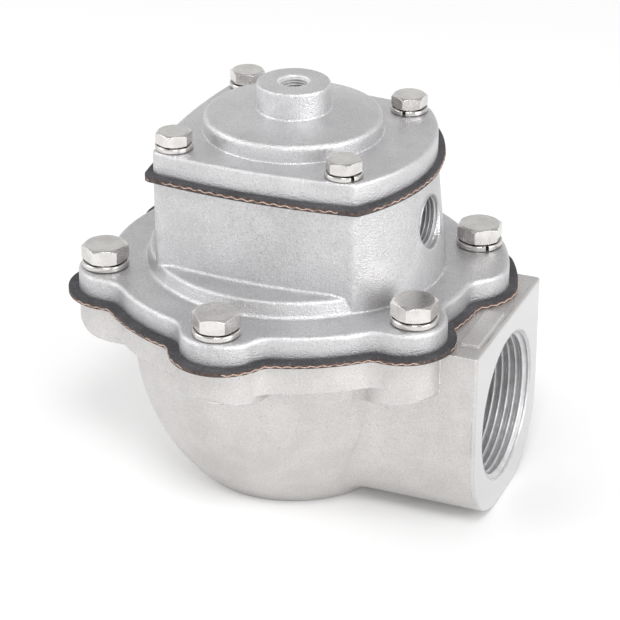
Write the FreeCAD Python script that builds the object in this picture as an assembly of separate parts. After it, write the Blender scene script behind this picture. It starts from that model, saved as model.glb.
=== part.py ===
import FreeCAD, Part
import math
import os

# Right-angle pulse valve with a main diaphragm, a pilot diaphragm and a remote pilot port.
# Sizes are millimetres and Z is up. The origin is the centre of the outlet mouth, in the
# plane that the valve stands on, and +X points out of the inlet.

V = FreeCAD.Vector
UP = V(0, 0, 1)

# Threaded ports, at the root of their threads
MAIN_THREAD_R = 23.9
MAIN_THREAD_LEN = 22.0
MAIN_CHAMFER = 0.5
VENT_THREAD_R = 8.33
VENT_THREAD_LEN = 12.0
VENT_CHAMFER = 0.1
PILOT_THREAD_R = 4.86
PILOT_THREAD_LEN = 8.5
SMALL_CHAMFER = 0.4

# Valve body
BODY_H = 63.4
BODY_WALL = 5.0
FOOT_R = 32.6
BOWL_R = 51.6
SHOULDER_Z = 46.0
BOWL_BULGE = 4.9
CAVITY_FLOOR = 7.0
INLET_AXIS_Z = 32.6
INLET_REACH = 72.8
INLET_BORE_R = 21.5
BLOCK_HALF_W = 30.8
BLOCK_CORNER_R = 25.0
BLOCK_EDGE_R = 1.2
TUBE_FOOT_R = 29.0
TUBE_TOP_R = 24.5
TUBE_BORE_R = 20.5
RIM_T = 10.4
RIM_LEDGE = 0.4
RIM_FLARE = 3.2
LUG_DEPTH = 11.9
LUG_TIP_R = 5.0
LUG_SLOPE = 2.5
INLET_LUG_DEPTH = 14.9
INLET_LUG_TIP_R = 3.0
PAD_LEN = 24.6
PAD_W = 6.0
PAD_T = 0.7
PAD_BACK = 5.4
PAD_SIDE = 11.0

# Lobed flange outline, shared by body, main sheet and housing
VALLEY_INSET = 1.0
LOBE_INSET = 4.7
LOBE_R = 13.3
LOBE_BLEND_R = 8.0
LOBE_COUNT = 6
BROAD_LOBE_TURN = 14.0

# Main sheet
SHEET_T = 1.6
SHEET_GROW = 3.2
SHEET_SHIFT_X = -0.4
SHEET_SHIFT_Y = 0.2
SHEET_ROLL_IN = 31.5
SHEET_ROLL_OUT = 40.5
SHEET_ROLL_H = 4.0

# Middle housing
HOUSING_H = 40.9
HOUSING_FLANGE_T = 7.3
FLANGE_EDGE_R = 1.5
STEP_H = 5.4
STEP_FOOT_R = 46.9
STEP_TOP_R = 45.9
STEP_EDGE_R = 1.4
STEP_FOOT_FILLET = 1.5
CHAMBER_R = 42.5
CHAMBER_WALL_H = 4.5
CHAMBER_ROOF_R = 26.0
CHAMBER_H = 14.0
WEB_T = 5.0
NECK_CORNER = 33.2
NECK_SIDE = 36.0
NECK_BULGE = 44.5
NECK_FOOT_BULGE = 48.9
NECK_CORNER_R = 3.0
NECK_CAVITY_R = 30.5
NECK_SKIRT = 1.4
NOZZLE_BORE_R = 6.5
NOZZLE_TOP_R = 9.3
NOZZLE_R = 10.5
VENT_OFFSET_Y = -0.4
VENT_ABOVE_SEAM = 26.8
VENT_BORE_R = 6.0
VENT_TUBE_R = 8.6
VENT_WALL_X = 45.6
TRANSFER_R = 3.0
TRANSFER_AT_R = 21.0
TRANSFER_COUNT = 3

# Pilot sheet
PILOT_SHEET_T = 2.0
PILOT_SHEET_GROW = 2.0
PILOT_ROLL_IN = 16.5
PILOT_ROLL_OUT = 23.0
PILOT_ROLL_H = 2.5

# Top cover
COVER_T = 7.4
COVER_EDGE_R = 1.2
COVER_ROOF_T = 3.0
COVER_MOUTH_R = 28.5
COVER_CAVITY_R = 24.5
COVER_MOUTH_H = 5.0
DOME_R = 28.1
DOME_H = 5.9
DOME_CROWN = 1.2
DOME_EDGE_R = 2.0
BOSS_R = 11.5
BOSS_H = 8.8
BOSS_EDGE_R = 0.8
PILOT_DRILL_R = 3.2

# Flange screws, M8
WASHER_ROOM = 4.2
M8_R = 4.0
M8_ACROSS_FLATS = 13.0
M8_HEAD_H = 5.3
M8_LEN = 25.0
M8_WASHER_R = 7.4
M8_WASHER_T = 2.0
M8_SPARE_DEPTH = 1.0

# Cover screws, M6
M6_AT_R = 39.5
M6_COUNT = 4
M6_R = 3.0
M6_ACROSS_FLATS = 10.0
M6_HEAD_H = 4.0
M6_LEN = 20.0
M6_WASHER_R = 5.9
M6_WASHER_T = 1.6
M6_SPARE_DEPTH = 2.5

# Directions in which a head's corner and a washer's slit point, in degrees
M8_HEAD_TURNS = (37, 20, 5, 25, 14, 30)
M8_SLIT_TURNS = (-51, 100, 160, 170, 60, 20)
M6_HEAD_TURNS = (27, 12, 38, 6)
M6_SLIT_TURNS = (-87, 100, 190, -41)
WASHER_SLIT = 1.1

# Main core: the plates and the screw at the middle of the main sheet
MAIN_PLATE_R = 29.5
MAIN_PLATE_T = 2.0
MAIN_DISC_R = 27.5
MAIN_DISC_T = 4.0
MAIN_UNDER_R = 12.0
MAIN_UNDER_T = 2.0
MAIN_NUT_H = 4.0
MAIN_SCREW_TAIL = 1.0
MAIN_LIFT = 6.5

# Pilot core
PILOT_PLATE_R = 14.5
PILOT_PLATE_T = 1.2
PILOT_DISC_R = 11.0
PILOT_DISC_T = 2.5
M5_R = 2.5
M5_ACROSS_FLATS = 8.0
M5_HEAD_H = 3.5
PILOT_NUT_H = 2.7
PILOT_SCREW_TAIL = 0.8
PILOT_LIFT = 3.0

# Springs
MAIN_SPRING_R = 14.0
MAIN_WIRE_R = 0.9
MAIN_COILS = 3.0
PILOT_SPRING_R = 9.0
PILOT_WIRE_R = 0.6
PILOT_COILS = 4.0

# Clearances
THREAD_FIT = 0.05
SCREW_CLEARANCE = 0.45
SHEET_CLEARANCE = 0.3
SPRING_GAP = 0.05

# Heights, radii and angles worked out from the sizes above
M8_PCD_R = STEP_FOOT_R + STEP_FOOT_FILLET + WASHER_ROOM + M8_WASHER_R
VALLEY_R = M8_PCD_R - VALLEY_INSET
LOBE_CENTRE_R = M8_PCD_R - LOBE_INSET
SEAM_Z = BODY_H + SHEET_T
FLANGE_TOP_Z = SEAM_Z + HOUSING_FLANGE_T
STEP_TOP_Z = FLANGE_TOP_Z + STEP_H
CHAMBER_TOP_Z = SEAM_Z + CHAMBER_H
NECK_FLOOR_Z = CHAMBER_TOP_Z + WEB_T
HOUSING_TOP_Z = SEAM_Z + HOUSING_H
COVER_Z = HOUSING_TOP_Z + PILOT_SHEET_T
COVER_TOP_Z = COVER_Z + COVER_T
DOME_RIM_Z = COVER_TOP_Z + DOME_H
DOME_TOP_Z = DOME_RIM_Z + DOME_CROWN
TOP_Z = DOME_TOP_Z + BOSS_H
COVER_ROOF_Z = DOME_RIM_Z - COVER_ROOF_T
VENT_Z = SEAM_Z + VENT_ABOVE_SEAM
SEAT_Z = BODY_H - MAIN_DISC_T
NOZZLE_Z = HOUSING_TOP_Z - PILOT_DISC_T
LOBE_STEP = 360.0 / LOBE_COUNT
M8_ANGLES = [LOBE_STEP * (i + 0.5) for i in range(LOBE_COUNT)]
M6_STEP = 360.0 / M6_COUNT
M6_ANGLES = [M6_STEP * (i + 0.5) for i in range(M6_COUNT)]
LUG_OUT_R = LOBE_CENTRE_R + LOBE_R


def polar(radius, degrees, z=0.0):
    """Point at a radius and an angle about the valve axis."""
    turn = math.radians(degrees)
    return V(radius * math.cos(turn), radius * math.sin(turn), z)


def toward(start, end, length):
    """Point at a length from start, in the direction of end."""
    step = end.sub(start)
    return start.add(step.multiply(length / step.Length))


def arc(first, middle, last):
    return Part.Arc(first, middle, last).toShape()


def meet(centre_a, radius_a, centre_b, radius_b, side):
    """Crossing point of two circles, on the left of the line from a to b if side is 1."""
    line = centre_b.sub(centre_a)
    gap = line.Length
    along = (radius_a**2 - radius_b**2 + gap**2) / (2 * gap)
    across = side * math.sqrt(radius_a**2 - along**2)
    unit = line.multiply(1.0 / gap)
    return centre_a.add(V(unit.x * along - unit.y * across, unit.y * along + unit.x * across, 0))


def solid_of(wire, height):
    return Part.Face(wire).extrude(V(0, 0, height))


def turned(edges):
    """Solid turned about the valve axis from a closed half profile in the XZ plane."""
    face = Part.Face(Part.Wire(edges))
    return face.revolve(V(0, 0, 0), UP, 360)


def turned_points(points):
    corners = [V(r, 0, z) for r, z in points]
    return turned(Part.makePolygon(corners + corners[:1]).Edges)


def drum(radius, low, high, x=0.0, y=0.0):
    return Part.makeCylinder(radius, high - low, V(x, y, low))


def screw_holes(at_r, angles, radius, low, high):
    spots = [polar(at_r, angle) for angle in angles]
    return [drum(radius, low, high, spot.x, spot.y) for spot in spots]


def edges_at(shape, z):
    """Edges that lie wholly at one height."""
    near = 1e-6
    boxes = [(edge, edge.BoundBox) for edge in shape.Edges]
    return [edge for edge, box in boxes if abs(box.ZMin - z) < near and abs(box.ZMax - z) < near]


def lobe_spans():
    """First and last centre angle of each lobe. The lobe beside the inlet is broad."""
    spans = [[angle, angle] for angle in M8_ANGLES]
    spans[0][0] -= BROAD_LOBE_TURN
    return spans


def lobed_wire(grow, z, valley_r=VALLEY_R):
    """Closed outline of circle arcs: valleys about the axis, hollow blends and round lobes."""
    valley = valley_r + grow
    lobe = LOBE_R + grow
    blend = LOBE_BLEND_R - grow
    outer = valley + blend
    reach = lobe + blend
    cosine = (outer**2 + LOBE_CENTRE_R**2 - reach**2) / (2 * outer * LOBE_CENTRE_R)
    swing = math.degrees(math.acos(cosine))
    spans = lobe_spans()
    edges = []
    for (first, last), (follow, _) in zip(spans, spans[1:] + [[spans[0][0] + 360, 0]]):
        for angle, side in ((first, -1), (last, 1)):
            centre = polar(LOBE_CENTRE_R, angle, z)
            hollow = polar(outer, angle + side * swing, z)
            at_valley = polar(valley, angle + side * swing, z)
            at_lobe = toward(centre, hollow, lobe)
            between = toward(hollow, at_valley.add(at_lobe).multiply(0.5), blend)
            tip = polar(LOBE_CENTRE_R + lobe, angle, z)
            crest = toward(centre, at_lobe.add(tip).multiply(0.5), lobe)
            if side < 0:
                edges += [arc(at_valley, between, at_lobe), arc(at_lobe, crest, tip)]
            else:
                edges += [arc(tip, crest, at_lobe), arc(at_lobe, between, at_valley)]
        if last > first:
            tips = [polar(LOBE_CENTRE_R + lobe, a, z) for a in (first, (first + last) / 2, last)]
            edges.insert(len(edges) - 2, arc(*tips))
        ends = [polar(valley, a, z) for a in (last + swing, (last + follow) / 2, follow - swing)]
        edges.append(arc(*ends))
    return Part.Wire(edges)


def neck_wire(grow, bulge, z):
    """Square outline of four bowed sides, the +X side bowed out to bulge, with round corners."""
    corner = NECK_CORNER + grow
    sides = []
    for angle, middle in ((-90, NECK_SIDE), (0, bulge), (90, NECK_SIDE), (180, NECK_SIDE)):
        bow = middle + grow - corner
        radius = (corner**2 + bow**2) / (2 * bow)
        sides.append((polar(middle + grow - radius, angle), radius, polar(middle + grow, angle, z)))
    starts = []
    edges = []
    for this, following in zip(sides, sides[1:] + sides[:1]):
        inner = [radius - NECK_CORNER_R for _, radius, _ in (this, following)]
        centre = meet(this[0], inner[0], following[0], inner[1], 1)
        leave = toward(this[0], centre, this[1])
        enter = toward(following[0], centre, following[1])
        middle = toward(centre, leave.add(enter).multiply(0.5), NECK_CORNER_R)
        starts.append([V(p.x, p.y, z) for p in (leave, middle, enter)])
    for index, (_, _, middle) in enumerate(sides):
        edges.append(arc(starts[index - 1][2], middle, starts[index][0]))
        edges.append(arc(*starts[index]))
    return Part.Wire(edges)


def bowl_arc(inset):
    """Centre and radius of the bowl's side, which bows out between its foot and its shoulder."""
    foot = V(FOOT_R, 0, 0)
    shoulder = V(BOWL_R, 0, SHOULDER_Z)
    chord = shoulder.sub(foot)
    radius = (chord.Length**2 / 4 + BOWL_BULGE**2) / (2 * BOWL_BULGE)
    inward = V(-chord.z, 0, chord.x).multiply(1.0 / chord.Length)
    middle = foot.add(shoulder).multiply(0.5)
    centre = middle.add(inward.multiply(radius - BOWL_BULGE))
    return centre, radius - inset


def bowl_point(inset, z):
    """Point of the bowl's side at a height, moved inwards by inset."""
    centre, radius = bowl_arc(inset)
    return V(centre.x + math.sqrt(radius**2 - (z - centre.z) ** 2), 0, z)


def bowl_profile(inset, floor, points):
    """Half profile that rises along the bowl's side from floor and closes through the points."""
    low, middle, high = [bowl_point(inset, z) for z in (floor, (floor + SHOULDER_Z) / 2, SHOULDER_Z)]
    corners = [high] + [V(r, 0, z) for r, z in points] + [V(0, 0, floor), low]
    lines = [Part.makeLine(a, b) for a, b in zip(corners, corners[1:])]
    return [arc(low, middle, high)] + lines


def inlet_block():
    """Square block around the inlet, with its two lower edges rounded."""
    w = BLOCK_HALF_W
    r = BLOCK_CORNER_R
    k = r * (1 - math.sqrt(0.5))
    x = FOOT_R / 2
    low = [V(x, -w, r), V(x, k - w, k), V(x, r - w, 0)]
    far = [V(x, w - r, 0), V(x, w - k, k), V(x, w, r)]
    top = [V(x, w, BODY_H), V(x, -w, BODY_H)]
    edges = [arc(*low), Part.makeLine(low[2], far[0]), arc(*far), Part.makeLine(far[2], top[0])]
    edges += [Part.makeLine(*top), Part.makeLine(top[1], low[0])]
    block = Part.Face(Part.Wire(edges)).extrude(V(INLET_REACH - x, 0, 0))
    face = [e for e in block.Edges if e.BoundBox.XMin > INLET_REACH - 0.01]
    return block.makeFillet(BLOCK_EDGE_R, face)


def lug_ring(depth, tip_r):
    """Rim with lugs of one depth all around, their undersides sloping in to the bowl."""
    low = BODY_H - depth
    out = LUG_OUT_R + RIM_LEDGE
    root = BOWL_R - BODY_WALL / 2
    k = tip_r * (1 - math.sqrt(0.5))
    tip = [V(out, 0, low + tip_r), V(out - k, 0, low + k), V(out - tip_r, 0, low)]
    corners = [tip[2], V(BOWL_R, 0, low - LUG_SLOPE), V(root, 0, low - LUG_SLOPE), V(root, 0, BODY_H)]
    corners += [V(out, 0, BODY_H), tip[0]]
    ring = turned([arc(*tip)] + [Part.makeLine(a, b) for a, b in zip(corners, corners[1:])])
    rim = solid_of(lobed_wire(0, BODY_H - RIM_T), RIM_T)
    lugs = solid_of(lobed_wire(0, low - LUG_SLOPE, BOWL_R - BODY_WALL / 5), depth + LUG_SLOPE)
    holes = screw_holes(M8_PCD_R, M8_ANGLES, M8_R + THREAD_FIT, low - LUG_SLOPE, BODY_H)
    return ring.common(rim.fuse(lugs)).cut(holes)


def body_rim():
    """Rim with its screw lugs. The two lugs beside the inlet block are deeper."""
    start = LOBE_CENTRE_R / 2
    beside = Part.makeBox(LUG_OUT_R, LUG_OUT_R * 2, BODY_H, V(start, -LUG_OUT_R, 0))
    usual = lug_ring(LUG_DEPTH, LUG_TIP_R).cut(beside)
    return [usual, lug_ring(INLET_LUG_DEPTH, INLET_LUG_TIP_R).common(beside)]


def thread_bore(radius, length, chamfer):
    """Cutting tool for a threaded mouth at the origin, opening towards +Z."""
    bore = Part.makeCylinder(radius, length + chamfer, V(0, 0, -length))
    mouth = Part.makeCone(radius, radius + 2 * chamfer, 2 * chamfer, V(0, 0, -chamfer))
    return bore.fuse(mouth)


def inlet_bores():
    thread = thread_bore(MAIN_THREAD_R, MAIN_THREAD_LEN, MAIN_CHAMFER)
    thread.rotate(V(0, 0, 0), V(0, 1, 0), 90)
    thread.translate(V(INLET_REACH, 0, INLET_AXIS_Z))
    inner = INLET_REACH - MAIN_THREAD_LEN
    start = TUBE_FOOT_R + BODY_WALL / 2
    passage = Part.makeCylinder(INLET_BORE_R, inner - start, V(start, 0, INLET_AXIS_Z), V(1, 0, 0))
    return [thread, passage]


def outlet_tube():
    """Outlet tube with the main seat at its top."""
    low = MAIN_THREAD_LEN + BODY_WALL
    root = CAVITY_FLOOR / 2
    points = [(0, root), (TUBE_FOOT_R, root), (TUBE_FOOT_R, low), (TUBE_TOP_R, low + BODY_WALL)]
    return turned_points(points + [(TUBE_TOP_R, SEAT_Z), (0, SEAT_Z)])


def valve_body():
    """Cast body: bowl, rim, lugs and inlet block around the outlet tube."""
    flare_z = BODY_H - RIM_T
    flare_r = VALLEY_R - RIM_LEDGE
    inner_r = BOWL_R - BODY_WALL
    outside = [(BOWL_R, flare_z - RIM_FLARE), (flare_r, flare_z), (flare_r, BODY_H), (0, BODY_H)]
    bowl = turned(bowl_profile(0, 0, outside))
    pad_at = V(INLET_REACH - PAD_BACK - PAD_W / 2, -PAD_SIDE - PAD_LEN / 2, BODY_H - PAD_T)
    pad = Part.makeBox(PAD_W, PAD_LEN, PAD_T * 2, pad_at)
    shell = bowl.fuse([inlet_block(), pad] + body_rim())
    cavity = turned(bowl_profile(BODY_WALL, CAVITY_FLOOR, [(inner_r, BODY_H), (0, BODY_H)]))
    body = shell.cut([cavity] + inlet_bores()).fuse(outlet_tube())
    mouth = thread_bore(MAIN_THREAD_R, MAIN_THREAD_LEN, MAIN_CHAMFER)
    mouth.rotate(V(0, 0, 0), V(1, 0, 0), 180)
    depth = M8_LEN - M8_WASHER_T - HOUSING_FLANGE_T - SHEET_T + M8_SPARE_DEPTH
    taps = screw_holes(M8_PCD_R, M8_ANGLES, M8_R + THREAD_FIT, BODY_H - depth, BODY_H)
    return body.cut([mouth, drum(TUBE_BORE_R, 0, SEAT_Z)] + taps).removeSplitter()


def rolled_sheet(z, thick, hole, roll_in, roll_out, roll_h, reach):
    """Middle of a sheet: flat, with one roll raised between two radii, and a hole."""
    middle = (roll_in + roll_out) / 2
    slack = thick * 0.25
    top = z + thick
    under = arc(V(roll_in, 0, z), V(middle, 0, z + roll_h), V(roll_out, 0, z))
    over = arc(V(roll_out + slack, 0, top), V(middle, 0, top + roll_h), V(roll_in - slack, 0, top))
    line = Part.makeLine
    edges = [line(V(hole, 0, z), V(roll_in, 0, z)), under, line(V(roll_out, 0, z), V(reach, 0, z))]
    edges += [line(V(reach, 0, z), V(reach, 0, top)), line(V(reach, 0, top), V(roll_out + slack, 0, top))]
    edges += [over, line(V(roll_in - slack, 0, top), V(hole, 0, top)), line(V(hole, 0, top), V(hole, 0, z))]
    return turned(edges)


def main_diaphragm():
    rim = solid_of(lobed_wire(SHEET_GROW, BODY_H), SHEET_T)
    rim.translate(V(SHEET_SHIFT_X, SHEET_SHIFT_Y, 0))
    inner = CHAMBER_R + SHEET_T
    hole = M8_R + SHEET_CLEARANCE
    rolls = (SHEET_ROLL_IN, SHEET_ROLL_OUT, SHEET_ROLL_H)
    middle = rolled_sheet(BODY_H, SHEET_T, hole, *rolls, inner)
    sheet = rim.cut(drum(inner, BODY_H, SEAM_Z)).fuse(middle)
    holes = screw_holes(M8_PCD_R, M8_ANGLES, M8_R + SCREW_CLEARANCE, BODY_H, SEAM_Z)
    return sheet.cut(holes).removeSplitter()


def pilot_diaphragm():
    rim = solid_of(neck_wire(PILOT_SHEET_GROW, NECK_BULGE, HOUSING_TOP_Z), PILOT_SHEET_T)
    inner = COVER_MOUTH_R
    hole = M5_R + SHEET_CLEARANCE
    rolls = (PILOT_ROLL_IN, PILOT_ROLL_OUT, PILOT_ROLL_H)
    middle = rolled_sheet(HOUSING_TOP_Z, PILOT_SHEET_T, hole, *rolls, inner)
    sheet = rim.cut(drum(inner, HOUSING_TOP_Z, COVER_Z)).fuse(middle)
    holes = screw_holes(M6_AT_R, M6_ANGLES, M6_R + SCREW_CLEARANCE, HOUSING_TOP_Z, COVER_Z)
    return sheet.cut(holes).removeSplitter()


def housing_step():
    """Round step between flange and neck, its upper edge rounded."""
    rise = STEP_TOP_Z - STEP_EDGE_R
    k = STEP_EDGE_R * (1 - math.sqrt(0.5))
    flat_r = STEP_TOP_R - STEP_EDGE_R
    edge = [V(STEP_TOP_R, 0, rise), V(STEP_TOP_R - k, 0, STEP_TOP_Z - k), V(flat_r, 0, STEP_TOP_Z)]
    corners = [edge[2], V(0, 0, STEP_TOP_Z), V(0, 0, SEAM_Z), V(STEP_FOOT_R, 0, SEAM_Z)]
    corners += [V(STEP_FOOT_R, 0, FLANGE_TOP_Z), edge[0]]
    return turned([arc(*edge)] + [Part.makeLine(a, b) for a, b in zip(corners, corners[1:])])


def housing_neck():
    """Square neck, its inlet side leaning out to the foot, with a skirt where it meets the step."""
    foot = neck_wire(0, NECK_FOOT_BULGE, SEAM_Z + HOUSING_FLANGE_T)
    top = neck_wire(0, NECK_BULGE, HOUSING_TOP_Z)
    neck = Part.makeLoft([foot, top], True, True)
    skirt = []
    for share in (0.0, 0.3, 0.65, 1.0):
        grow = NECK_SKIRT * (0.9 - math.sqrt(1 - (1 - share) ** 2))
        skirt.append(neck_wire(grow, NECK_FOOT_BULGE, STEP_TOP_Z + NECK_SKIRT * share))
    skirt = Part.makeLoft(skirt, True, True)
    edge = STEP_TOP_R - STEP_EDGE_R
    trim = Part.makeCone(edge, edge - NECK_SKIRT * 2, NECK_SKIRT, V(0, 0, STEP_TOP_Z))
    return neck.fuse(skirt.common(trim))


def housing_cavities():
    """Main chamber below, pilot chamber above around its nozzle, and the ways between them."""
    wall_z = SEAM_Z + CHAMBER_WALL_H
    points = [(0, SEAM_Z), (CHAMBER_R, SEAM_Z), (CHAMBER_R, wall_z), (CHAMBER_ROOF_R, CHAMBER_TOP_Z)]
    chamber = turned_points(points + [(0, CHAMBER_TOP_Z)])
    keep = [drum(NOZZLE_R, NECK_FLOOR_Z, HOUSING_TOP_Z), vent_tube(VENT_TUBE_R, 0)]
    pilot = drum(NECK_CAVITY_R, NECK_FLOOR_Z, HOUSING_TOP_Z).cut(keep)
    above = Part.makeCone(NOZZLE_R, NOZZLE_TOP_R, HOUSING_TOP_Z - VENT_Z, V(0, 0, VENT_Z))
    trim = drum(NOZZLE_R, NOZZLE_Z, HOUSING_TOP_Z)
    taper = drum(NOZZLE_R, VENT_Z + VENT_TUBE_R, NOZZLE_Z).cut(above)
    bore = drum(NOZZLE_BORE_R, VENT_Z - VENT_BORE_R, HOUSING_TOP_Z)
    ways = []
    for index in range(TRANSFER_COUNT):
        at = polar(TRANSFER_AT_R, 90.0 * (index + 1))
        ways.append(drum(TRANSFER_R, CHAMBER_TOP_Z - WEB_T, NECK_FLOOR_Z + WEB_T, at.x, at.y))
    return [chamber, pilot, trim, taper, bore, vent_tube(VENT_BORE_R, 0)] + ways


def vent_tube(radius, start):
    """Round bar along the vent's axis, from the nozzle to the neck's wall."""
    return Part.makeCylinder(radius, NECK_SIDE - start, V(start, VENT_OFFSET_Y, VENT_Z), V(1, 0, 0))


def vent_bore():
    """Threaded vent with a shallow round face around its mouth."""
    thread = thread_bore(VENT_THREAD_R, VENT_THREAD_LEN, VENT_CHAMFER)
    thread.rotate(V(0, 0, 0), V(0, 1, 0), 90)
    thread.translate(V(VENT_WALL_X, VENT_OFFSET_Y, VENT_Z))
    mouth = V(VENT_WALL_X + VENT_CHAMFER, VENT_OFFSET_Y, VENT_Z)
    face_r = VENT_THREAD_R + 2 * VENT_CHAMFER
    return [thread, Part.makeCylinder(face_r, VENT_THREAD_LEN, mouth, V(1, 0, 0))]


def middle_housing():
    """Cast housing between the two sheets."""
    flange = solid_of(lobed_wire(0, SEAM_Z), HOUSING_FLANGE_T)
    flange = flange.makeFillet(FLANGE_EDGE_R, edges_at(flange, FLANGE_TOP_Z))
    solid = flange.fuse(housing_step()).removeSplitter()
    foot = [e for e in edges_at(solid, FLANGE_TOP_Z) if abs(e.BoundBox.XMax - STEP_FOOT_R) < 0.01]
    solid = solid.makeFillet(STEP_FOOT_FILLET, foot)
    solid = solid.fuse(housing_neck()).removeSplitter()
    holes = screw_holes(M8_PCD_R, M8_ANGLES, M8_R + SCREW_CLEARANCE, SEAM_Z, FLANGE_TOP_Z)
    depth = M6_LEN - M6_WASHER_T - COVER_T - PILOT_SHEET_T + M6_SPARE_DEPTH
    taps = screw_holes(M6_AT_R, M6_ANGLES, M6_R + THREAD_FIT, HOUSING_TOP_Z - depth, HOUSING_TOP_Z)
    return solid.cut(housing_cavities() + vent_bore() + holes + taps)


def cover_dome():
    """Dome on the cover: straight side, rounded edge, slightly crowned top and the pilot boss."""
    rise = DOME_RIM_Z - DOME_EDGE_R
    k = DOME_EDGE_R * (1 - math.sqrt(0.5))
    flat_r = DOME_R - DOME_EDGE_R
    edge = [V(DOME_R, 0, rise), V(DOME_R - k, 0, DOME_RIM_Z - k), V(flat_r, 0, DOME_RIM_Z)]
    half_way = V((DOME_R + BOSS_R) / 2, 0, DOME_RIM_Z + DOME_CROWN * 0.6)
    crown = [edge[2], half_way, V(BOSS_R, 0, DOME_TOP_Z)]
    b = BOSS_EDGE_R * (1 - math.sqrt(0.5))
    brow_r = BOSS_R - BOSS_EDGE_R
    brow = [V(BOSS_R, 0, TOP_Z - BOSS_EDGE_R), V(BOSS_R - b, 0, TOP_Z - b), V(brow_r, 0, TOP_Z)]
    corners = [brow[2], V(0, 0, TOP_Z), V(0, 0, COVER_Z), V(DOME_R, 0, COVER_Z), edge[0]]
    lines = [Part.makeLine(a, b) for a, b in zip(corners, corners[1:])]
    return turned([arc(*edge), arc(*crown), Part.makeLine(crown[2], brow[0]), arc(*brow)] + lines)


def top_cover():
    """Cast cover with the dome, the pilot port and four screw holes."""
    plate = solid_of(neck_wire(0, NECK_BULGE, COVER_Z), COVER_T)
    plate = plate.makeFillet(COVER_EDGE_R, edges_at(plate, COVER_TOP_Z))
    mouth_z = COVER_Z + COVER_MOUTH_H
    points = [(0, COVER_Z), (COVER_MOUTH_R, COVER_Z), (COVER_CAVITY_R, mouth_z)]
    cavity = turned_points(points + [(COVER_CAVITY_R, COVER_ROOF_Z), (0, COVER_ROOF_Z)])
    port = thread_bore(PILOT_THREAD_R, PILOT_THREAD_LEN, SMALL_CHAMFER)
    port.translate(V(0, 0, TOP_Z))
    drill = drum(PILOT_DRILL_R, COVER_ROOF_Z, TOP_Z)
    holes = screw_holes(M6_AT_R, M6_ANGLES, M6_R + SCREW_CLEARANCE, COVER_Z, COVER_TOP_Z)
    return plate.fuse(cover_dome()).cut([cavity, port, drill] + holes).removeSplitter()


def hexagon(across_flats, height, turn):
    radius = across_flats / math.sqrt(3)
    corners = [polar(radius, turn + 60 * i) for i in range(7)]
    return solid_of(Part.makePolygon(corners), height)


def hex_head(across_flats, height, turn):
    """Hexagon head on the plane z = 0, its corners turned off at thirty degrees above and below."""
    head = hexagon(across_flats, height, turn)
    corner = across_flats / math.sqrt(3)
    flat = across_flats * 0.475
    drop = (corner + 1 - flat) * math.tan(math.radians(30))
    points = [(0, 0), (flat, 0), (corner + 1, drop), (corner + 1, height - drop), (flat, height), (0, height)]
    return head.common(turned_points(points))


def hex_nut(across_flats, height, bore, turn):
    return hex_head(across_flats, height, turn).cut(drum(bore, 0, height))


def hex_screw(radius, length, across_flats, height, turn):
    """Hexagon screw with its head on the plane z = 0, pointing down, the tip chamfered."""
    tip = radius * 0.2
    points = [(0, 0), (radius, 0), (radius, tip - length), (radius - tip, -length), (0, -length)]
    return turned_points(points).fuse(hex_head(across_flats, height, turn)).removeSplitter()


def split_washer(bore, radius, thick, turn):
    """Spring washer pressed flat, its outer edges rounded, with its slit."""
    ring = drum(radius, 0, thick).cut(drum(bore, 0, thick))
    rims = [e for z in (0, thick) for e in edges_at(ring, z) if e.BoundBox.XMax > (radius + bore) / 2]
    ring = ring.makeFillet(thick * 0.25, rims)
    slit = Part.makeBox(radius + 1, WASHER_SLIT, thick, V(0, -WASHER_SLIT / 2, 0))
    slit.rotate(V(0, 0, 0), UP, turn)
    return ring.cut(slit)


def coil_spring(radius, wire, coils, low, high):
    """Helical spring between two heights, of round wire."""
    height = high - low - 2 * wire - 2 * SPRING_GAP
    helix = Part.makeHelix(height / coils, height, radius)
    section = Part.Wire(Part.makeCircle(wire, V(radius, 0, 0), V(0, 1, 0)))
    spring = Part.Wire(helix.Edges).makePipeShell([section], True, True)
    spring.translate(V(0, 0, low + wire + SPRING_GAP))
    return spring


def pierced_disc(radius, bore, low, thick):
    return drum(radius, low, low + thick).cut(drum(bore, low, low + thick))


def lifted(shape, z, x=0.0, y=0.0):
    shape.translate(V(x, y, z))
    return shape


def main_core():
    """Plates, disc, screw and nut that clamp the middle of the main sheet."""
    bore = M8_R + THREAD_FIT
    under_z = SEAT_Z - MAIN_UNDER_T
    plate_top = SEAM_Z + MAIN_PLATE_T
    screw_len = plate_top + MAIN_NUT_H + MAIN_SCREW_TAIL - under_z
    screw = hex_screw(M8_R, screw_len, M8_ACROSS_FLATS, M8_HEAD_H, 0)
    screw.rotate(V(0, 0, 0), V(1, 0, 0), 180)
    return {
        "main_top_plate": pierced_disc(MAIN_PLATE_R, bore, SEAM_Z, MAIN_PLATE_T),
        "main_seat_disc": pierced_disc(MAIN_DISC_R, bore, SEAT_Z, MAIN_DISC_T),
        "main_bottom_washer": pierced_disc(MAIN_UNDER_R, bore, under_z, MAIN_UNDER_T),
        "main_centre_screw": lifted(screw, under_z),
        "main_centre_nut": lifted(hex_nut(M8_ACROSS_FLATS, MAIN_NUT_H, bore, 0), plate_top),
    }


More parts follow.
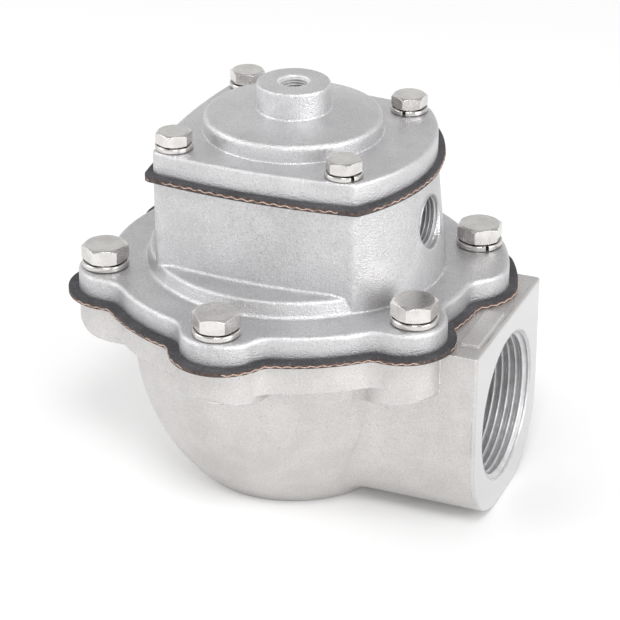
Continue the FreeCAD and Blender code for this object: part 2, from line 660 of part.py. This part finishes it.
def pilot_core():
    """Plate, disc, screw and nut that clamp the middle of the pilot sheet."""
    bore = M5_R + THREAD_FIT
    plate_top = COVER_Z + PILOT_PLATE_T
    screw_len = plate_top + PILOT_NUT_H + PILOT_SCREW_TAIL - NOZZLE_Z
    screw = hex_screw(M5_R, screw_len, M5_ACROSS_FLATS, M5_HEAD_H, 0)
    screw.rotate(V(0, 0, 0), V(1, 0, 0), 180)
    return {
        "pilot_top_plate": pierced_disc(PILOT_PLATE_R, bore, COVER_Z, PILOT_PLATE_T),
        "pilot_seat_disc": pierced_disc(PILOT_DISC_R, bore, NOZZLE_Z, PILOT_DISC_T),
        "pilot_centre_screw": lifted(screw, NOZZLE_Z),
        "pilot_centre_nut": lifted(hex_nut(M5_ACROSS_FLATS, PILOT_NUT_H, bore, 0), plate_top),
    }


def springs():
    main_low = SEAM_Z + MAIN_PLATE_T
    pilot_low = COVER_Z + PILOT_PLATE_T
    return {
        "main_spring": coil_spring(MAIN_SPRING_R, MAIN_WIRE_R, MAIN_COILS, main_low, CHAMBER_TOP_Z),
        "pilot_spring": coil_spring(PILOT_SPRING_R, PILOT_WIRE_R, PILOT_COILS, pilot_low, COVER_ROOF_Z),
    }


def fasteners():
    """Screws and spring washers on the flange and on the cover."""
    made = {}
    for index, angle in enumerate(M8_ANGLES):
        at = polar(M8_PCD_R, angle)
        turn = M8_HEAD_TURNS[index % len(M8_HEAD_TURNS)]
        slit = M8_SLIT_TURNS[index % len(M8_SLIT_TURNS)]
        screw = hex_screw(M8_R, M8_LEN, M8_ACROSS_FLATS, M8_HEAD_H, turn)
        washer = split_washer(M8_R + THREAD_FIT, M8_WASHER_R, M8_WASHER_T, slit)
        made[f"flange_screw_{index + 1}"] = lifted(screw, FLANGE_TOP_Z + M8_WASHER_T, at.x, at.y)
        made[f"flange_washer_{index + 1}"] = lifted(washer, FLANGE_TOP_Z, at.x, at.y)
    for index, angle in enumerate(M6_ANGLES):
        at = polar(M6_AT_R, angle)
        turn = M6_HEAD_TURNS[index % len(M6_HEAD_TURNS)]
        slit = M6_SLIT_TURNS[index % len(M6_SLIT_TURNS)]
        screw = hex_screw(M6_R, M6_LEN, M6_ACROSS_FLATS, M6_HEAD_H, turn)
        washer = split_washer(M6_R + THREAD_FIT, M6_WASHER_R, M6_WASHER_T, slit)
        made[f"cover_screw_{index + 1}"] = lifted(screw, COVER_TOP_Z + M6_WASHER_T, at.x, at.y)
        made[f"cover_washer_{index + 1}"] = lifted(washer, COVER_TOP_Z, at.x, at.y)
    return made


def valve():
    parts = {
        "valve_body": valve_body(),
        "main_diaphragm": main_diaphragm(),
        "middle_housing": middle_housing(),
        "pilot_diaphragm": pilot_diaphragm(),
        "top_cover": top_cover(),
    }
    for group in (main_core(), pilot_core(), springs(), fasteners()):
        parts.update(group)
    return parts


os.makedirs("parts", exist_ok=True)
for name, shape in valve().items():
    shape.exportStep(os.path.join("parts", name + ".step"))
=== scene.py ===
import math

import bpy
import numpy as np
from mathutils import Matrix


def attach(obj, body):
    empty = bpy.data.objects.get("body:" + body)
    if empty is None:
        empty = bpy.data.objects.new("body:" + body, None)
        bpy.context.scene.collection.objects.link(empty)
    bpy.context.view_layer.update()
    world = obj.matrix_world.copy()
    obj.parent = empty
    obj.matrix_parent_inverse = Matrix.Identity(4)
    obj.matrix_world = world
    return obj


# Right-angle pulse valve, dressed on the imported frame. Metres, Z up, the outlet mouth at the origin
# and the inlet towards +X.

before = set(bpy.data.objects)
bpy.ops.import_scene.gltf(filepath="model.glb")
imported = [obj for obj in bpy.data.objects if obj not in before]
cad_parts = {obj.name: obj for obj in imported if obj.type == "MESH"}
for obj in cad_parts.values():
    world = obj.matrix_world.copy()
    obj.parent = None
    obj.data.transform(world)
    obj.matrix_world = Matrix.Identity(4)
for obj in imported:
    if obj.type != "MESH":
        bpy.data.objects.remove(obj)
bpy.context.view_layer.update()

MM = 0.001

# Sizes that the new pieces share with the solids, in millimetres
INLET_FACE_X = 72.8
INLET_AXIS_Z = 32.6
BLOCK_HALF_W = 30.8
BLOCK_CORNER_R = 25.0
FOOT_R = 32.6
BOWL_R = 51.6
SHOULDER_Z = 46.0
BOWL_BULGE = 4.9
VENT_FACE_X = 45.6
VENT_Y = -0.4
VENT_Z = 91.8
TOP_Z = 131.2
MAIN_SHEET_Z = 64.1
PILOT_SHEET_Z = 106.8

# Threads of the ports: pitch, radius at crest and root, length, and radius of the opened mouth
MAIN_PIPE = {"pitch": 2.309, "crest_r": 22.42, "root_r": 23.9, "length": 21.5, "mouth_r": 24.4}
VENT_PIPE = {"pitch": 1.337, "crest_r": 7.475, "root_r": 8.33, "length": 11.0, "mouth_r": 8.45}
PILOT_PIPE = {"pitch": 0.907, "crest_r": 4.283, "root_r": 4.86, "length": 8.0, "mouth_r": 5.2}

# The photograph's camera: where it stands round the valve, how far off, and where it looks from the top's
# centre, to its own right and down
CAMERA_TURN = 22.509
CAMERA_LIFT = 26.677
CAMERA_AWAY = 770.4
AIM_RIGHT = 5.05
AIM_DOWN = 70.69


# Mesh making


def skin(name, points, body, finish, closed=True, outwards=1):
    """Piece on a body from a grid of points: row i and column j make one four-sided face with i + 1 and
    j + 1. A closed one joins the last line to the first both ways. outwards is -1 where the rows run the
    other way round."""
    rows, columns = points.shape[:2]
    i = np.arange(rows if closed else rows - 1)[:, None]
    j = np.arange(columns if closed else columns - 1)[None, :]
    i_next, j_next = (i + 1) % rows, (j + 1) % columns
    corners = [i * columns + j, i_next * columns + j, i_next * columns + j_next, i * columns + j_next]
    faces = np.stack([np.broadcast_to(c, (i.size, j.size)).ravel() for c in corners], axis=1)[:, ::outwards]
    mesh = bpy.data.meshes.new(name)
    mesh.from_pydata((points.reshape(-1, 3) * MM).tolist(), [], faces.tolist())
    mesh.shade_smooth()
    piece = bpy.data.objects.new(name, mesh)
    bpy.context.scene.collection.objects.link(piece)
    mesh.materials.append(finish)
    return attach(piece, body)


def thread_sleeve(name, finish, slot, mouth, axis, pitch, crest_r, root_r, length, mouth_r):
    """Internal thread as a closed ring, from the middle of its mouth inwards. The inner radius follows a
    tooth whose phase moves one pitch along the axis in each turn: a triangle wave with flats cut at crest
    and root, part smoothed. A forty-five degree cone opens the mouth. The outer radius lies in the wall."""
    turns = np.linspace(0, 2 * np.pi, 181)[:-1, None]
    depth = np.linspace(0, length, int(length / pitch * 16))[None, :]
    phase = 2 * np.pi * (depth / pitch - turns / (2 * np.pi))
    tooth = np.clip(0.5 + 0.68 * np.arcsin(np.cos(phase)) / (np.pi / 2), 0, 1)
    tooth = tooth * tooth * (3 - 2 * tooth) * 0.35 + tooth * 0.65
    inner = root_r - (root_r - crest_r) * tooth
    inner = np.maximum(inner, mouth_r - depth)
    outer = np.full((turns.size, 2), root_r + 0.15)
    radius = np.hstack([inner, outer])
    along = np.hstack([depth.ravel(), length, 0.0])[None, :] + 0 * turns
    u, v = side_axes(axis)
    ring = radius[..., None] * (np.cos(turns)[..., None] * u + np.sin(turns)[..., None] * v)
    points = np.array(mouth) - along[..., None] * np.array(axis, float) + ring
    return skin(name, points, "valve", finish)


def side_axes(axis):
    """Two unit vectors across an axis that make a right-handed set with it."""
    axis = np.array(axis, float)
    u = np.array([0.0, 1.0, 0.0]) if abs(axis[0]) > 0.5 else np.array([1.0, 0.0, 0.0])
    return u, np.cross(axis, u)


def rim_outline(node, least_r, count):
    """Outline of a sheet and its length: the corners of its upright outer wall, in order of angle, and
    then points spaced evenly along them."""
    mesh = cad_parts[node].data
    places = np.empty(len(mesh.vertices) * 3)
    mesh.vertices.foreach_get("co", places)
    places = places.reshape(-1, 3) / MM
    normals = np.empty(len(mesh.polygons) * 3)
    mesh.polygons.foreach_get("normal", normals)
    corners = np.empty(len(mesh.polygons) * 3, int)
    mesh.polygons.foreach_get("vertices", corners)
    upright = abs(normals.reshape(-1, 3)[:, 2]) < 0.1
    ring = places[np.unique(corners.reshape(-1, 3)[upright])]
    ring = ring[np.hypot(ring[:, 0], ring[:, 1]) > least_r]
    ring = ring[ring[:, 2] > ring[:, 2].max() - 0.01][:, :2]
    ring = ring[np.argsort(np.arctan2(ring[:, 1], ring[:, 0]))]
    ring = np.vstack([ring, ring[:1]])
    length = np.concatenate([[0], np.cumsum(np.hypot(*np.diff(ring, axis=0).T))])
    even = np.linspace(0, length[-1], count + 1)[:-1]
    return np.stack([np.interp(even, length, ring[:, k]) for k in (0, 1)], axis=1), length[-1]


def yarn(name, node, least_r, z, finish, wave=3.5, swing=0.25, radius=0.28):
    """Yarn of the fabric in a sheet's edge: a round strand along the outline whose height is a sine with
    a slow wander. It sinks into the rubber by a changing depth."""
    outline, length = rim_outline(node, least_r, 2400)
    waves = round(length / wave)
    along = np.arange(len(outline)) / len(outline)
    wander = 0.1 * np.sin(2 * np.pi * along * 23) + 0.08 * np.sin(2 * np.pi * along * 57 + 1)
    height = z + swing * np.sin(2 * np.pi * along * waves + 2 * wander) + wander
    ahead = np.roll(outline, -1, axis=0) - np.roll(outline, 1, axis=0)
    out = np.stack([ahead[:, 1], -ahead[:, 0]], axis=1)
    out /= np.hypot(*out.T)[:, None]
    sunk = 0.02 + 0.14 * (0.5 + 0.5 * np.sin(2 * np.pi * along * 41 + 3 * np.sin(2 * np.pi * along * 7)))
    turns = np.linspace(0, 2 * np.pi, 9)[:-1]
    reach = radius * np.cos(turns)[None, :] - sunk[:, None]
    flat = outline[:, None, :] + out[:, None, :] * reach[..., None]
    rise = height[:, None] + radius * 0.8 * np.sin(turns)[None, :]
    points = np.concatenate([flat, rise[..., None]], axis=2)
    return skin(name, points, "valve", finish)


def bowl_radius(z):
    """Radius of the bowl's side at a height: a bulging arc from foot to shoulder, then upright."""
    chord = math.hypot(BOWL_R - FOOT_R, SHOULDER_Z)
    radius = (chord**2 / 4 + BOWL_BULGE**2) / (2 * BOWL_BULGE)
    inward = np.array([-SHOULDER_Z, BOWL_R - FOOT_R]) / chord
    centre = np.array([(FOOT_R + BOWL_R) / 2, SHOULDER_Z / 2]) + inward * (radius - BOWL_BULGE)
    return centre[0] + np.sqrt(radius**2 - (np.minimum(z, SHOULDER_Z) - centre[1]) ** 2)


def root_blend(name, side, finish, blend_r=11.0, low=0.15, high=49.6):
    """Soft hollow where the inlet block leaves the bowl. At each height an arc of one radius touches the
    bowl's circle and the block's flank, and it grows with height. Its two ends lie on them, so the
    shades run on. side is -1 near the camera and 1 on the far side."""
    z = np.linspace(low, high, 120)[:, None]
    drop = np.maximum(BLOCK_CORNER_R - z, 0)
    flank = BLOCK_HALF_W - BLOCK_CORNER_R + np.sqrt(BLOCK_CORNER_R**2 - drop**2)
    bowl = bowl_radius(z)
    r = blend_r * np.clip(0.25 + z / 14, 0, 1)
    centre_x = np.sqrt((bowl + r) ** 2 - (flank + r) ** 2)
    to_bowl = np.arctan2(flank + r, -centre_x)
    turn = np.pi / 2 + (to_bowl - np.pi / 2) * np.linspace(0, 1, 25)[None, :]
    x = centre_x + r * np.cos(turn)
    y = -(flank + r) + r * np.sin(turn)
    lift = 0.02
    points = np.stack([x, -side * (y - lift), z + 0 * x], axis=2)
    return skin(name, points, "valve", finish, closed=False, outwards=side)


# Camera and light


def aim_camera():
    """Long lens at the photograph's angle. It stands back from a target along its own axis."""
    turn, lift = math.radians(CAMERA_TURN), math.radians(CAMERA_LIFT)
    right = np.array([math.cos(turn), math.sin(turn), 0.0])
    back = np.array([math.sin(turn) * math.cos(lift), -math.cos(turn) * math.cos(lift), math.sin(lift)])
    up = np.cross(back, right)
    target = np.array([0.0, 0.0, TOP_Z]) + AIM_RIGHT * right - AIM_DOWN * up
    data = bpy.data.cameras.new("camera")
    data.lens = 145.07
    data.sensor_width = 36.0
    data.clip_start = 0.05
    data.clip_end = 20.0
    camera = bpy.data.objects.new("camera", data)
    bpy.context.scene.collection.objects.link(camera)
    place(camera, right, up, back, (target + CAMERA_AWAY * back) * MM)
    bpy.context.scene.camera = camera


def place(thing, x_axis, y_axis, z_axis, at):
    """Stand a camera or lamp at a point, turned to three unit vectors."""
    axes = np.eye(4)
    axes[:3, 0], axes[:3, 1], axes[:3, 2], axes[:3, 3] = x_axis, y_axis, z_axis, at
    thing.matrix_world = Matrix(axes.tolist())


def soft_box(name, size, watts, at, look_at=(0, 0, 0.06)):
    """Square lamp that faces a point."""
    data = bpy.data.lights.new(name, "AREA")
    data.shape = "SQUARE"
    data.size = size
    data.energy = watts
    box = bpy.data.objects.new(name, data)
    bpy.context.scene.collection.objects.link(box)
    axis = np.array(at, float) - np.array(look_at, float)
    axis /= np.linalg.norm(axis)
    side = np.cross([0.0, 0.0, 1.0], axis)
    side /= np.linalg.norm(side)
    place(box, side, np.cross(axis, side), axis, at)


# Shader arithmetic


class Wire:
    """Output of a node. Arithmetic on it adds Math nodes."""

    def __init__(self, finish, socket):
        self.finish = finish
        self.socket = socket

    def __add__(self, other):
        return self.finish.maths("ADD", self, other)

    def __sub__(self, other):
        return self.finish.maths("SUBTRACT", self, other)

    def __rsub__(self, other):
        return self.finish.maths("SUBTRACT", other, self)

    def __mul__(self, other):
        return self.finish.maths("MULTIPLY", self, other)

    def __abs__(self):
        return self.finish.maths("ABSOLUTE", self)

    __radd__ = __add__
    __rmul__ = __mul__


class Finish:
    """Material or world whose nodes are made one by one, settings first and then sockets."""

    def __init__(self, owner):
        owner.use_nodes = True
        self.owner = owner
        self.tree = owner.node_tree
        self.shader = self.tree.nodes.get("Principled BSDF")

    def node(self, kind, settings=None, sockets=None, output=0):
        made = self.tree.nodes.new("ShaderNode" + kind)
        for key, value in (settings or {}).items():
            setattr(made, key, value)
        for key, value in (sockets or {}).items():
            self.plug(made.inputs[key], value)
        return Wire(self, made.outputs[output])

    def plug(self, socket, value):
        """Link for a wire. A colour gets its alpha, and any other value goes in as it is."""
        if isinstance(value, Wire):
            self.tree.links.new(value.socket, socket)
        elif socket.type == "RGBA" and len(value) == 3:
            socket.default_value = (*value, 1.0)
        else:
            socket.default_value = value

    def maths(self, operation, *values):
        return self.node("Math", {"operation": operation}, dict(enumerate(values)))

    def paint(self, **sockets):
        for key, value in sockets.items():
            self.plug(self.shader.inputs[key.replace("_", " ").title()], value)

    def spot(self):
        return self.node("TexCoord", output="Object")

    def axis(self, which):
        return self.node("SeparateXYZ", sockets={"Vector": self.spot()}, output=which)

    def noise(self, scale, detail=2.0, rough=0.5, spot=None):
        sockets = {"Vector": spot or self.spot(), "Scale": scale, "Detail": detail, "Roughness": rough}
        return self.node("TexNoise", sockets=sockets)

    def cells(self, scale):
        return self.node("TexVoronoi", sockets={"Vector": self.spot(), "Scale": scale})

    def stretched(self, scale, turn=(0.0, 0.0, 0.0)):
        return self.node("Mapping", sockets={"Vector": self.spot(), "Rotation": turn, "Scale": scale})

    def length(self, vector):
        return self.node("VectorMath", {"operation": "LENGTH"}, {0: vector}, output="Value")

    def ramp(self, value, low, high):
        """Smooth rise from 0 at low to 1 at high, or a fall if low is the larger."""
        flip = low > high
        sockets = {"Value": value, "From Min": min(low, high), "From Max": max(low, high)}
        sockets.update({"To Min": float(flip), "To Max": float(not flip)})
        return self.node("MapRange", {"interpolation_type": "SMOOTHSTEP"}, sockets)

    def mix(self, factor, low, high):
        return self.node("Mix", {"data_type": "RGBA"}, {0: factor, 6: low, 7: high}, output=2)

    def rounded(self, radius):
        """Normal that runs over an edge as if it were rounded."""
        return self.node("Bevel", {"samples": 6}, {"Radius": radius})

    def edge(self, soft):
        """1 on an edge, 0 away from it: how far the rounded normal leans from the true one."""
        true = self.node("NewGeometry", output="Normal")
        lean = self.node("VectorMath", {"operation": "DOT_PRODUCT"}, {0: soft, 1: true}, output="Value")
        return self.ramp(lean, 0.995, 0.9)

    def crevice(self, reach):
        """1 in the open, towards 0 where a neighbour is near."""
        return self.node("AmbientOcclusion", {"samples": 6}, {"Distance": reach}, output="AO")

    def bump(self, height, depth, normal=None):
        sockets = {"Height": height, "Distance": depth, "Strength": 1.0}
        if normal:
            sockets["Normal"] = normal
        return self.node("Bump", sockets=sockets)


def new_finish(name):
    return Finish(bpy.data.materials.new(name))


# Finishes


def cast_skin(name, light, dark, depth, round_edge, metal, rough, speckle, machined=None):
    """Blasted aluminium casting: fine sand grain, faint clouds, pits and smudges, bright worn edges.
    machined gives the masks of the faces that a tool has cut."""
    f = new_finish(name)
    cloud = f.noise(38.0, 4.0, 0.6)
    patch = f.noise(130.0, 3.0, 0.55)
    grain = f.noise(1600.0, 2.0, 0.6)
    sand = f.noise(2800.0, 1.0, 0.5)
    soft = f.rounded(round_edge)
    worn = f.edge(soft) * f.ramp(grain, 0.3, 0.55)
    colour = f.mix(f.ramp(cloud * 0.7 + patch * 0.3, 0.35, 0.65), dark, light)
    colour = f.mix(f.ramp(grain, 0.5, 0.3) * speckle, colour, tuple(c * 0.78 for c in dark))
    colour = f.mix(f.ramp(sand, 0.58, 0.72) * speckle, colour, (0.88, 0.88, 0.89))
    smudge = f.ramp(f.noise(260.0, 3.0, 0.6), 0.66, 0.8)
    colour = f.mix(smudge * 0.2, colour, (0.3, 0.29, 0.28))
    pit = f.ramp(f.cells(420.0), 0.09, 0.03) * f.ramp(f.noise(70.0), 0.56, 0.66)
    colour = f.mix(pit * 0.6, colour, (0.2, 0.19, 0.19))
    colour = f.mix(worn * 0.8, colour, (0.9, 0.9, 0.91))
    dull = rough + patch * 0.08 + grain * 0.06 - worn * 0.14
    height = grain + sand * 0.6 - pit * 1.5 + patch * 0.8
    if machined:
        cut, lines, hairline = machined(f)
        colour = f.mix(hairline * 0.6, colour, (0.25, 0.23, 0.22))
        colour = f.mix(cut * 0.65, colour, (0.72, 0.72, 0.73))
        dull = dull - cut * 0.1
        height = height * (1 - cut * 0.82) + lines * cut
    f.paint(base_color=colour, roughness=dull, metallic=metal, normal=f.bump(height, depth, soft))
    return f.owner


def body_cuts(f):
    """Faces of the body that a tool has cut, the lines it left there, and the dark hairline where the cut
    stops at the block's flanks: the inlet's end face, the seam and the outlet."""
    x, z = f.axis("X"), f.axis("Z")
    flat = {"Location": (0.0, 0.0, -INLET_AXIS_Z * MM), "Scale": (0.0, 1.0, 1.0)}
    radius = f.length(f.node("Mapping", sockets={"Vector": f.spot(), **flat}))
    face = f.ramp(x, (INLET_FACE_X - 0.35) * MM, (INLET_FACE_X - 0.05) * MM)
    under = f.ramp(z, 0.4 * MM, 0.1 * MM)
    step = abs(x - (INLET_FACE_X - 1.35) * MM) + (f.noise(150.0, 2.0) - 0.5) * 0.0006
    hairline = f.ramp(step, 0.2 * MM, 0.06 * MM) * f.ramp(f.noise(60.0, 2.0), 0.42, 0.56)
    return f.maths("MINIMUM", face + under, 1.0), f.maths("SINE", radius * 7000.0) * 0.04, hairline


def turned_metal(name, colour, rough, spread):
    """Cut aluminium of a thread: bright, with fine tool lines and some dull streaks. The lines follow one
    another along the axis where spread is large."""
    f = new_finish(name)
    streak = f.noise(300.0, 3.0, 0.6)
    lines = f.noise(1.0, 2.0, 0.5, f.stretched(spread))
    tone = f.mix(f.ramp(streak, 0.35, 0.7), colour, tuple(c * 0.8 for c in colour))
    f.paint(base_color=tone, metallic=0.6, roughness=rough + streak * 0.12, normal=f.bump(lines, 0.000015))
    return f.owner


def bright_steel(name, colour, rough, round_edge=0.00022):
    """Polished stainless steel of the screws: rolled grain, tumbled corners, faint scratches, and painted
    shade in crevices.
    """
    f = new_finish(name)
    cloud = f.noise(220.0, 3.0, 0.6)
    fine = f.noise(2400.0, 2.0, 0.6)
    scratch = f.noise(1.0, 2.0, 0.5, f.stretched((500.0, 4000.0, 900.0), (0.3, 0.2, 0.7)))
    soft = f.rounded(round_edge)
    worn = f.edge(soft)
    tone = f.mix(f.ramp(cloud, 0.3, 0.7), colour, tuple(c * 0.84 for c in colour))
    tone = f.mix(worn * 0.5, tone, (0.9, 0.89, 0.87))
    # Painted shade: the steel darkens almost to black where another surface lies within 1.3 mm, under the
    # heads and round the washers.
    tone = f.mix(f.ramp(f.crevice(0.0013), 0.72, 0.4) * 0.72, tone, (0.09, 0.085, 0.08))
    dull = rough + cloud * 0.12 + f.ramp(scratch, 0.55, 0.7) * 0.05
    normal = f.bump(fine * 0.8 + scratch * 0.2, 0.000014, soft)
    f.paint(base_color=tone, metallic=1.0, roughness=dull, normal=normal)
    return f.owner


def rubber_sheet(name, middle, half):
    """Fabric sheet in black rubber: dusty speckled faces, and on the cut edge a brown band of fabric
    about the middle height, uneven along its length."""
    f = new_finish(name)
    z = f.axis("Z")
    up = f.node("SeparateXYZ", sockets={"Vector": f.node("NewGeometry", output="Normal")}, output="Z")
    side = f.ramp(abs(up), 0.6, 0.3)
    cloud = f.noise(90.0, 3.0, 0.6)
    grit = f.noise(1900.0, 2.0, 0.6)
    ragged = f.noise(700.0, 3.0, 0.7)
    dust = f.ramp(grit, 0.6, 0.74) * (0.35 + cloud)
    colour = f.mix(f.ramp(cloud, 0.3, 0.7), (0.032, 0.031, 0.035), (0.064, 0.062, 0.068))
    colour = f.mix(dust * 0.8, colour, (0.3, 0.3, 0.32))
    reach = abs(z - middle * MM) + (ragged - 0.5) * 0.0007
    band = f.ramp(reach, half * MM, half * MM * 0.5) * side
    brown = f.mix(f.ramp(ragged, 0.35, 0.65), (0.035, 0.024, 0.023), (0.13, 0.08, 0.062))
    colour = f.mix(band * 0.8, colour, brown)
    height = grit * 0.8 + ragged * 0.6 + cloud
    normal = f.bump(height, 0.00012, f.rounded(0.0003))
    f.paint(base_color=colour, roughness=0.62 + cloud * 0.2, normal=normal)
    return f.owner


def yarn_finish(name):
    """Copper brown yarn: lighter on its crests, dark where rubber covers it."""
    f = new_finish(name)
    fray = f.noise(1.0, 3.0, 0.6, f.stretched((2600.0, 2600.0, 900.0)))
    smear = f.ramp(f.noise(240.0, 2.0, 0.6), 0.52, 0.66)
    tone = f.mix(f.ramp(fray, 0.3, 0.7), (0.34, 0.225, 0.18), (0.72, 0.54, 0.45))
    tone = f.mix(smear * 0.7, tone, (0.1, 0.065, 0.055))
    f.paint(base_color=tone, roughness=0.6, normal=f.bump(fray, 0.00006))
    return f.owner


# Room and floor


def seen_directly(f):
    """1 for rays from the camera, from gloss and through glass, 0 for the light that falls on things."""
    rays = ("Is Camera Ray", "Is Glossy Ray", "Is Transmission Ray")
    camera, gloss, glass = (f.node("LightPath", output=ray) for ray in rays)
    return f.maths("MINIMUM", camera + gloss + glass, 1.0)


def light_room(light, high):
    """World that lights things evenly and shows itself white at eye level, grey towards the top."""
    world = bpy.data.worlds.new("room")
    bpy.context.scene.world = world
    f = Finish(world)
    sky = f.node("SeparateXYZ", sockets={"Vector": f.node("TexCoord", output="Generated")}, output="Z")
    fall = {"Value": sky, "From Min": 0.1, "From Max": 0.7, "To Min": 1.0, "To Max": high}
    show = f.node("MapRange", sockets=fall)
    seen = seen_directly(f)
    ground = f.tree.nodes["Background"]
    f.plug(ground.inputs["Color"], (1.0, 1.0, 1.0))
    f.plug(ground.inputs["Strength"], seen * show + (1 - seen) * light)


def lay_floor(glow):
    """White floor. Where it is seen it glows a little, and less round the spot where the object's shadow
    falls, so that its shadow stays grey: a painted shadow over the real one.
    """
    f = new_finish("floor_white")
    f.paint(base_color=(0.84, 0.84, 0.84), roughness=0.7)
    f.shader.inputs["Specular IOR Level"].default_value = 0.2
    # Painted shadow: the glow drops to 0.35 of itself within 3 cm of a point 40 mm towards +X and 15 mm
    # towards -Y, and comes back by 10 cm.
    from_shadow = f.node("Mapping", sockets={"Vector": f.spot(), "Location": (-0.04, 0.015, 0.0)})
    outside_painted_shadow = f.ramp(f.length(from_shadow), 0.03, 0.1)
    seen = seen_directly(f) * (0.35 + outside_painted_shadow * 0.65)
    f.paint(emission_color=f.mix(seen, (0.0, 0.0, 0.0), (1.0, 1.0, 1.0)))
    f.shader.inputs["Emission Strength"].default_value = glow
    mesh = bpy.data.meshes.new("floor")
    corners = [(-3.0, -3.0, 0.0), (3.0, -3.0, 0.0), (3.0, 3.0, 0.0), (-3.0, 3.0, 0.0)]
    mesh.from_pydata(corners, [], [[0, 1, 2, 3]])
    mesh.materials.append(f.owner)
    floor = bpy.data.objects.new("floor", mesh)
    bpy.context.scene.collection.objects.link(floor)


# The scene

aim_camera()
bpy.context.scene.view_settings.view_transform = "Standard"
soft_box("front", 0.34, 4.8, (0.32, -0.65, 1.05))
soft_box("right", 0.8, 7.7, (1.15, -0.25, 0.5))
soft_box("left", 0.8, 5.2, (-1.0, -0.45, 0.7))
light_room(light=0.64, high=0.56)
lay_floor(glow=0.16)

# Finishes on the solids, by the record's material slots

SLOTS = {
    "body_casting": cast_skin(
        "body_cast",
        light=(0.645, 0.628, 0.618),
        dark=(0.56, 0.543, 0.533),
        depth=0.00016,
        round_edge=0.0006,
        metal=0.8,
        rough=0.36,
        speckle=0.45,
        machined=body_cuts,
    ),
    "housing_casting": cast_skin(
        "housing_cast",
        light=(0.645, 0.64, 0.65),
        dark=(0.54, 0.535, 0.545),
        depth=0.0002,
        round_edge=0.0012,
        metal=0.86,
        rough=0.33,
        speckle=0.62,
    ),
    "cover_casting": cast_skin(
        "cover_cast",
        light=(0.69, 0.685, 0.695),
        dark=(0.59, 0.585, 0.595),
        depth=0.0002,
        round_edge=0.001,
        metal=0.86,
        rough=0.33,
        speckle=0.62,
    ),
    "screw_steel": bright_steel("screw_bright", (0.74, 0.72, 0.7), rough=0.19),
    "washer_steel": bright_steel("washer_bright", (0.66, 0.64, 0.62), rough=0.12, round_edge=0.0005),
    "plate_steel": bright_steel("plate_zinc", (0.62, 0.62, 0.63), rough=0.3),
    "spring_steel": bright_steel("spring_wire", (0.55, 0.54, 0.52), rough=0.25),
    # The seat discs have no fabric: their band lies below the valve
    "disc_rubber": rubber_sheet("disc_black", middle=-1.0, half=0.1),
}
SHEETS = {
    "main_diaphragm": rubber_sheet("main_sheet_black", middle=MAIN_SHEET_Z, half=0.75),
    "pilot_diaphragm": rubber_sheet("pilot_sheet_black", middle=PILOT_SHEET_Z, half=0.8),
}
for name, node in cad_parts.items():
    for slot in node.material_slots:
        base = slot.material.name.split(".")[0]
        slot.material = SLOTS.get(base) or SHEETS[name]

# Pieces

ALONG_X, ALONG_Z = (2500.0, 60.0, 60.0), (60.0, 60.0, 2500.0)
# The threads are one cut aluminium whose tone in each bore is partly its own and partly painted light and
# shade for how much light reaches in: darkest in the vent, lightest on top.
THREAD = turned_metal("thread_cut", (0.67, 0.67, 0.68), 0.44, ALONG_X)
VENT_THREAD = turned_metal("vent_thread_cut", (0.5, 0.5, 0.51), 0.4, ALONG_X)
SMALL_THREAD = turned_metal("small_thread_cut", (0.82, 0.82, 0.82), 0.36, ALONG_Z)
YARN = yarn_finish("fabric_yarn")
inlet_mouth = (INLET_FACE_X, 0, INLET_AXIS_Z)
vent_mouth = (VENT_FACE_X, VENT_Y, VENT_Z)
thread_sleeve("inlet_thread", THREAD, "body_casting", inlet_mouth, (1, 0, 0), **MAIN_PIPE)
thread_sleeve("outlet_thread", THREAD, "body_casting", (0, 0, 0), (0, 0, -1), **MAIN_PIPE)
thread_sleeve("vent_thread", VENT_THREAD, "housing_casting", vent_mouth, (1, 0, 0), **VENT_PIPE)
thread_sleeve("pilot_thread", SMALL_THREAD, "cover_casting", (0, 0, TOP_Z), (0, 0, 1), **PILOT_PIPE)
yarn("main_sheet_yarn", "main_diaphragm", 52, MAIN_SHEET_Z - 0.1, YARN)
yarn("pilot_sheet_yarn", "pilot_diaphragm", 32, PILOT_SHEET_Z - 0.1, YARN)
root_blend("near_root_blend", -1, SLOTS["body_casting"])
root_blend("far_root_blend", 1, SLOTS["body_casting"])
